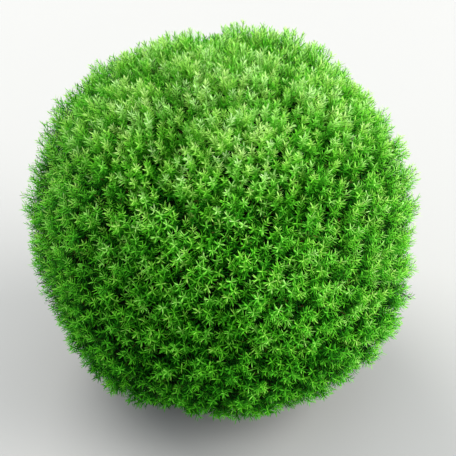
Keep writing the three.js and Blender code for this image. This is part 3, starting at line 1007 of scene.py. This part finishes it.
# %% Growing the needles
STAR_PAIRS, PLUME_PAIRS, INNER_PAIRS = 16, 23, 8
PLUME_SPLIT = 0.5
INNER_FADING = 1.2
DEAD_SHARE = 0.03
LOWEST_NEEDLE = 0.002
PIECES_OF_RING = {"low": 3, "mid": 3, "high": 2, "top": 1}


def needles_of(own, inner):
    """The needles of some shoots, and of the inner shoots behind them."""
    stars, plumes = own[plume[own] < PLUME_SPLIT], own[plume[own] >= PLUME_SPLIT]
    batches = []
    for pairs, kind in [(STAR_PAIRS, stars), (PLUME_PAIRS, plumes)]:
        grown = feet[kind], shoot_axis[kind], shoot_length[kind]
        batches.append(clothe(*grown, pairs, tone[kind], fading[kind], plume[kind]))
    same = np.ones(len(inner))
    grown = inner_feet[inner], inner_axis[inner], INNER_LENGTH * same
    corners, colours = clothe(*grown, INNER_PAIRS, inner_tone[inner], INNER_FADING * same, 0 * same)
    colours[rng.random(len(colours)) < DEAD_SHARE] = DEAD
    batches.append((corners, colours))
    return [np.concatenate(arrays) for arrays in zip(*batches)]


def needle_piece(name, corners, colours):
    """One mesh from many needles, without any that would touch the ground."""
    keep = corners[..., 2].min(axis=1) > LOWEST_NEEDLE
    corners, colours = corners[keep], colours[keep]
    faces = NEEDLE_CORNERS * np.arange(len(corners))[:, None, None] + NEEDLE_FACES
    return new_piece(name, corners.reshape(-1, 3), faces.reshape(-1, 3), needle_materials, colours.ravel())


for ring, count in PIECES_OF_RING.items():
    members = np.flatnonzero(mass_ring == ring)
    for part, chosen in enumerate(np.array_split(members, count)):
        own = np.flatnonzero(grows & np.isin(shoot_mass, chosen))
        inner = np.flatnonzero(hidden & np.isin(inner_mass, chosen))
        needles = needle_piece(f"needles_{ring}_{part + 1}", *needles_of(own, inner))
        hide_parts(*[f"foliage_{masses[m]['name']}" for m in chosen])
        print(needles.name, len(needles.data.polygons), "faces on", len(own), "shoots")

# %% [markdown]
# The camera stands two metres off and looks down by 36 degrees, as a person does who stands in front of a
# knee-high shrub. A long lens from there keeps the globe round.

# %% The camera
ELEVATION = 36
DISTANCE = 2.0
LENS = 140
AIM_RIGHT, AIM_DOWN = 0.0068, 0.008
back = -heading(90, -ELEVATION)
frame_up = np.array([0, math.sin(math.radians(ELEVATION)), math.cos(math.radians(ELEVATION))])
aim = GLOBE_MIDDLE + np.array([AIM_RIGHT, 0, 0]) - AIM_DOWN * frame_up
camera = bpy.data.objects.new("camera", bpy.data.cameras.new("camera"))
camera.location = Vector(aim + back * DISTANCE)
camera.rotation_euler = Vector(-back).to_track_quat("-Z", "Y").to_euler()
camera.data.lens = LENS
bpy.context.scene.collection.objects.link(camera)
bpy.context.scene.camera = camera
print("the camera stands at", [round(n, 2) for n in camera.location])

# %% [markdown]
# The floor is plain and pale. It throws soft light up under the skirt, as pale ground does outdoors.

# %% The floor
FLOOR_HALF = 12
FLOOR_GREY, FLOOR_ROUGHNESS = (0.36, 0.35, 0.33, 1), 0.9
corner_signs = [(-1, -1), (1, -1), (1, 1), (-1, 1)]
floor_corners = [(FLOOR_HALF * x, FLOOR_HALF * y, 0) for x, y in corner_signs]
floor_finish = Recipe("floor", {"Base Color": FLOOR_GREY, "Roughness": FLOOR_ROUGHNESS})
floor_mesh = bpy.data.meshes.new("floor")
floor_mesh.from_pydata(floor_corners, [], [(0, 1, 2, 3)])
floor_mesh.materials.append(floor_finish.material)
floor = bpy.data.objects.new("floor", floor_mesh)
bpy.context.scene.collection.objects.link(floor)
print("floor:", 2 * FLOOR_HALF, "m square")

# %% [markdown]
# The light is that of a bright, hazy day: a pale sky all round, a broad source on the right at half
# height, and a weaker one high behind the plant on the left. Broad sources keep the needles soft and
# still leave the gaps between them dark.

# %% The light
SKY_COLOUR, SKY_STRENGTH = (0.85, 0.92, 1.0, 1), 1.15
world = bpy.data.worlds.new("sky")
world.use_nodes = True
sky = world.node_tree.nodes["Background"]
sky.inputs["Color"].default_value = SKY_COLOUR
sky.inputs["Strength"].default_value = SKY_STRENGTH
bpy.context.scene.world = world


def soft_box(name, place, size, power):
    """A round lamp of a given width in metres and power in watts that faces the crown."""
    lamp = bpy.data.lights.new(name, "AREA")
    lamp.shape = "DISK"
    lamp.size = size
    lamp.energy = power
    holder = bpy.data.objects.new(name, lamp)
    holder.location = place
    holder.rotation_euler = (Vector(GLOBE_MIDDLE) - Vector(place)).to_track_quat("-Z", "Y").to_euler()
    bpy.context.scene.collection.objects.link(holder)


soft_box("right", place=(4.2, -0.4, 2.2), size=4.8, power=455)
soft_box("left_back", place=(-2.3, 2.3, 3.4), size=4.4, power=270)
bpy.context.scene.view_settings.view_transform = "Standard"
print("lights:", ", ".join(light.name for light in bpy.data.lights))
